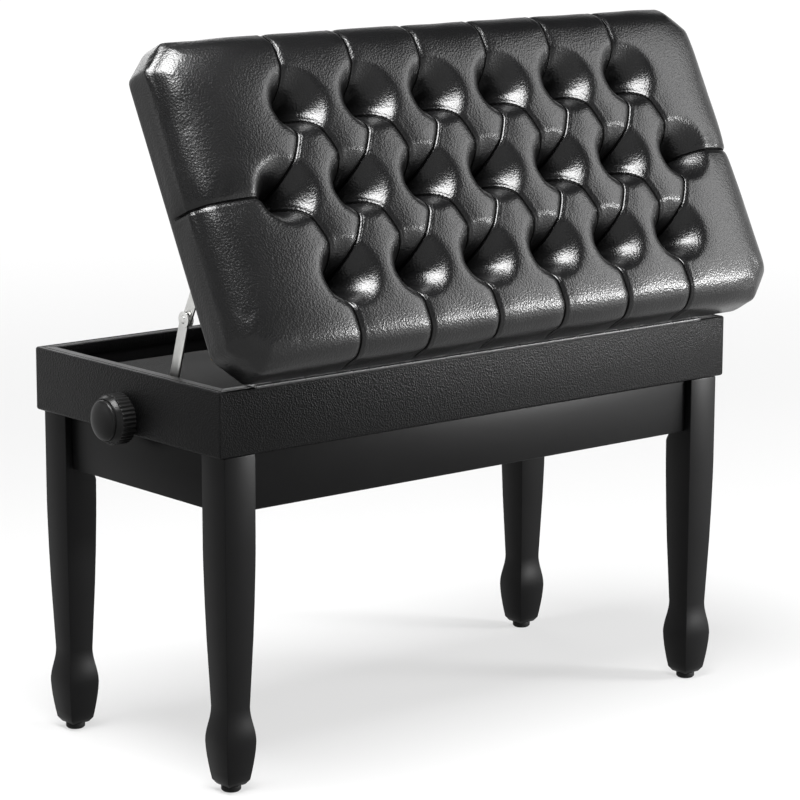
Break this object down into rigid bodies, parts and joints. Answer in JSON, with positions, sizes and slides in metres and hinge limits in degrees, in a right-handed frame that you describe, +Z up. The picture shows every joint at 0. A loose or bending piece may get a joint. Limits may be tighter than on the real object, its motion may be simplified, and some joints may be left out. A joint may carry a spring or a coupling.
{
  "type": "piano bench",
  "caption": "Duet piano bench with a deep-tufted hinged lid, a music tray, a screw-and-scissor height adjuster with side knobs, and square tapered legs.",
  "frame": {"origin": "on the floor, under the middle of the four legs", "axes": "+X along the bench to the player's right when the hinge side faces the viewer, -Y towards the hinge side, +Z up"},
  "size_m": [0.83, 0.396, 0.8112],
  "materials": {
    "painted_wood": "satin black lacquer on hardwood",
    "bare_wood": "bare plywood and pine, unseen inside",
    "box_leather": "black faux leather, fine grain, glued down flat",
    "seat_leather": "black faux leather, fine pebble grain, semi-gloss",
    "foam": "upholstery foam",
    "tray_felt": "black flocked lining",
    "dust_cloth": "black non-woven dust cloth",
    "knob_plastic": "moulded black plastic, satin",
    "glide_plastic": "black plastic glide",
    "bush_plastic": "natural nylon",
    "black_steel": "black painted steel",
    "zinc_steel": "bright zinc-plated steel"
  },
  "bodies": {
    "leg_frame": {"leg_front_left": "painted_wood", "leg_front_right": "painted_wood", "leg_rear_left": "painted_wood", "leg_rear_right": "painted_wood", "apron_front": "painted_wood", "apron_rear": "painted_wood", "apron_left": "painted_wood", "apron_right": "painted_wood", "corner_blocks": "bare_wood", "block_screws": "zinc_steel", "hanger_bolts": "zinc_steel", "hanger_nuts": "zinc_steel", "foot_glides": "glide_plastic", "lift_channels": "black_steel", "base_pivots": "zinc_steel"},
    "seat_box": {"rail_front": "painted_wood", "rail_rear": "painted_wood", "rail_left": "painted_wood", "rail_right": "painted_wood", "cover_front": "box_leather", "cover_rear": "box_leather", "cover_left": "box_leather", "cover_right": "box_leather", "tray_floor": "bare_wood", "tray_lining": "tray_felt", "tray_cleats": "bare_wood", "screw_bushes": "bush_plastic", "arm_brackets": "black_steel", "hinge_leaf_lower": "black_steel", "hinge_screws_lower": "black_steel", "stay_brackets_lower": "zinc_steel"},
    "screw_and_knobs": {"lead_screw": "zinc_steel", "screw_collars": "zinc_steel", "knob_left": "knob_plastic", "knob_right": "knob_plastic", "knob_cap_left": "knob_plastic", "knob_cap_right": "knob_plastic"},
    "nut_left": {"traverse_nut_left": "zinc_steel"},
    "nut_right": {"traverse_nut_right": "zinc_steel"},
    "lift_arms_left": {"lift_arm_left": "black_steel"},
    "lift_arms_right": {"lift_arm_right": "black_steel"},
    "slide_arms_left": {"slide_arm_left": "black_steel", "rollers_left": "zinc_steel"},
    "slide_arms_right": {"slide_arm_right": "black_steel", "rollers_right": "zinc_steel"},
    "lid": {"lid_board": "bare_wood", "foam_pad": "foam", "leather_cover": "seat_leather", "tuft_buttons": "seat_leather", "dust_cover": "dust_cloth", "hinge_leaf_upper": "black_steel", "hinge_pin": "zinc_steel", "hinge_screws_upper": "black_steel", "stay_brackets_upper": "zinc_steel"},
    "stay_lower_left": {"stay_lower_left": "zinc_steel"},
    "stay_lower_right": {"stay_lower_right": "zinc_steel"},
    "stay_upper_left": {"stay_upper_left": "zinc_steel"},
    "stay_upper_right": {"stay_upper_right": "zinc_steel"}
  },
  "joints": [
    {"name": "seat_lift", "type": "slide", "parent": "leg_frame", "child": "seat_box", "axis": [0, 0, 1], "range_m": [0, 0.075]},
    {"name": "screw_turn", "type": "hinge", "parent": "seat_box", "child": "screw_and_knobs", "pos_m": [0, 0, 0.393], "axis": [1, 0, 0], "range_deg": [0, 2939.9]},
    {"name": "nut_travel_left", "type": "slide", "parent": "seat_box", "child": "nut_left", "axis": [-1, 0, 0], "range_m": [0, 0.0328]},
    {"name": "nut_travel_right", "type": "slide", "parent": "seat_box", "child": "nut_right", "axis": [1, 0, 0], "range_m": [0, 0.0328]},
    {"name": "lift_arm_left", "type": "hinge", "parent": "leg_frame", "child": "lift_arms_left", "pos_m": [-0.33, 0, 0.328], "axis": [0, -1, 0], "range_deg": [0, 18.12]},
    {"name": "slide_arm_left", "type": "hinge", "parent": "seat_box", "child": "slide_arms_left", "pos_m": [-0.33, 0, 0.393], "axis": [0, 1, 0], "range_deg": [0, 18.12]},
    {"name": "lift_arm_right", "type": "hinge", "parent": "leg_frame", "child": "lift_arms_right", "pos_m": [0.33, 0, 0.328], "axis": [0, 1, 0], "range_deg": [0, 18.12]},
    {"name": "slide_arm_right", "type": "hinge", "parent": "seat_box", "child": "slide_arms_right", "pos_m": [0.33, 0, 0.393], "axis": [0, -1, 0], "range_deg": [0, 18.12]},
    {"name": "lid_hinge", "type": "hinge", "parent": "seat_box", "child": "lid", "pos_m": [0, -0.1763, 0.4482], "axis": [1, 0, 0], "range_deg": [-62.8, 0]},
    {"name": "stay_lower_left", "type": "hinge", "parent": "seat_box", "child": "stay_lower_left", "pos_m": [-0.345, -0.049, 0.43], "axis": [1, 0, 0], "range_deg": [-104.5, 0]},
    {"name": "stay_upper_left", "type": "hinge", "parent": "lid", "child": "stay_upper_left", "pos_m": [-0.345, -0.10407, 0.56905], "axis": [1, 0, 0], "range_deg": [0, 121.7]},
    {"name": "stay_lower_right", "type": "hinge", "parent": "seat_box", "child": "stay_lower_right", "pos_m": [0.345, -0.049, 0.43], "axis": [1, 0, 0], "range_deg": [-104.5, 0]},
    {"name": "stay_upper_right", "type": "hinge", "parent": "lid", "child": "stay_upper_right", "pos_m": [0.345, -0.10407, 0.56905], "axis": [1, 0, 0], "range_deg": [0, 121.7]}
  ],
  "couplings": [
    {"joint": "screw_turn", "follows": "seat_lift", "rad_per_m": 683.92},
    {"joint": "nut_travel_left", "follows": "seat_lift", "ratio": 0.4354},
    {"joint": "nut_travel_right", "follows": "seat_lift", "ratio": 0.4354},
    {"joint": "lift_arm_left", "follows": "seat_lift", "rad_per_m": 4.2124},
    {"joint": "slide_arm_left", "follows": "seat_lift", "rad_per_m": 4.2124},
    {"joint": "stay_lower_left", "follows": "lid_hinge", "ratio": 1.6602},
    {"joint": "stay_upper_left", "follows": "lid_hinge", "ratio": -1.9349},
    {"joint": "lift_arm_right", "follows": "seat_lift", "rad_per_m": 4.2124},
    {"joint": "slide_arm_right", "follows": "seat_lift", "rad_per_m": 4.2124},
    {"joint": "stay_lower_right", "follows": "lid_hinge", "ratio": 1.6602},
    {"joint": "stay_upper_right", "follows": "lid_hinge", "ratio": -1.9349}
  ]
}
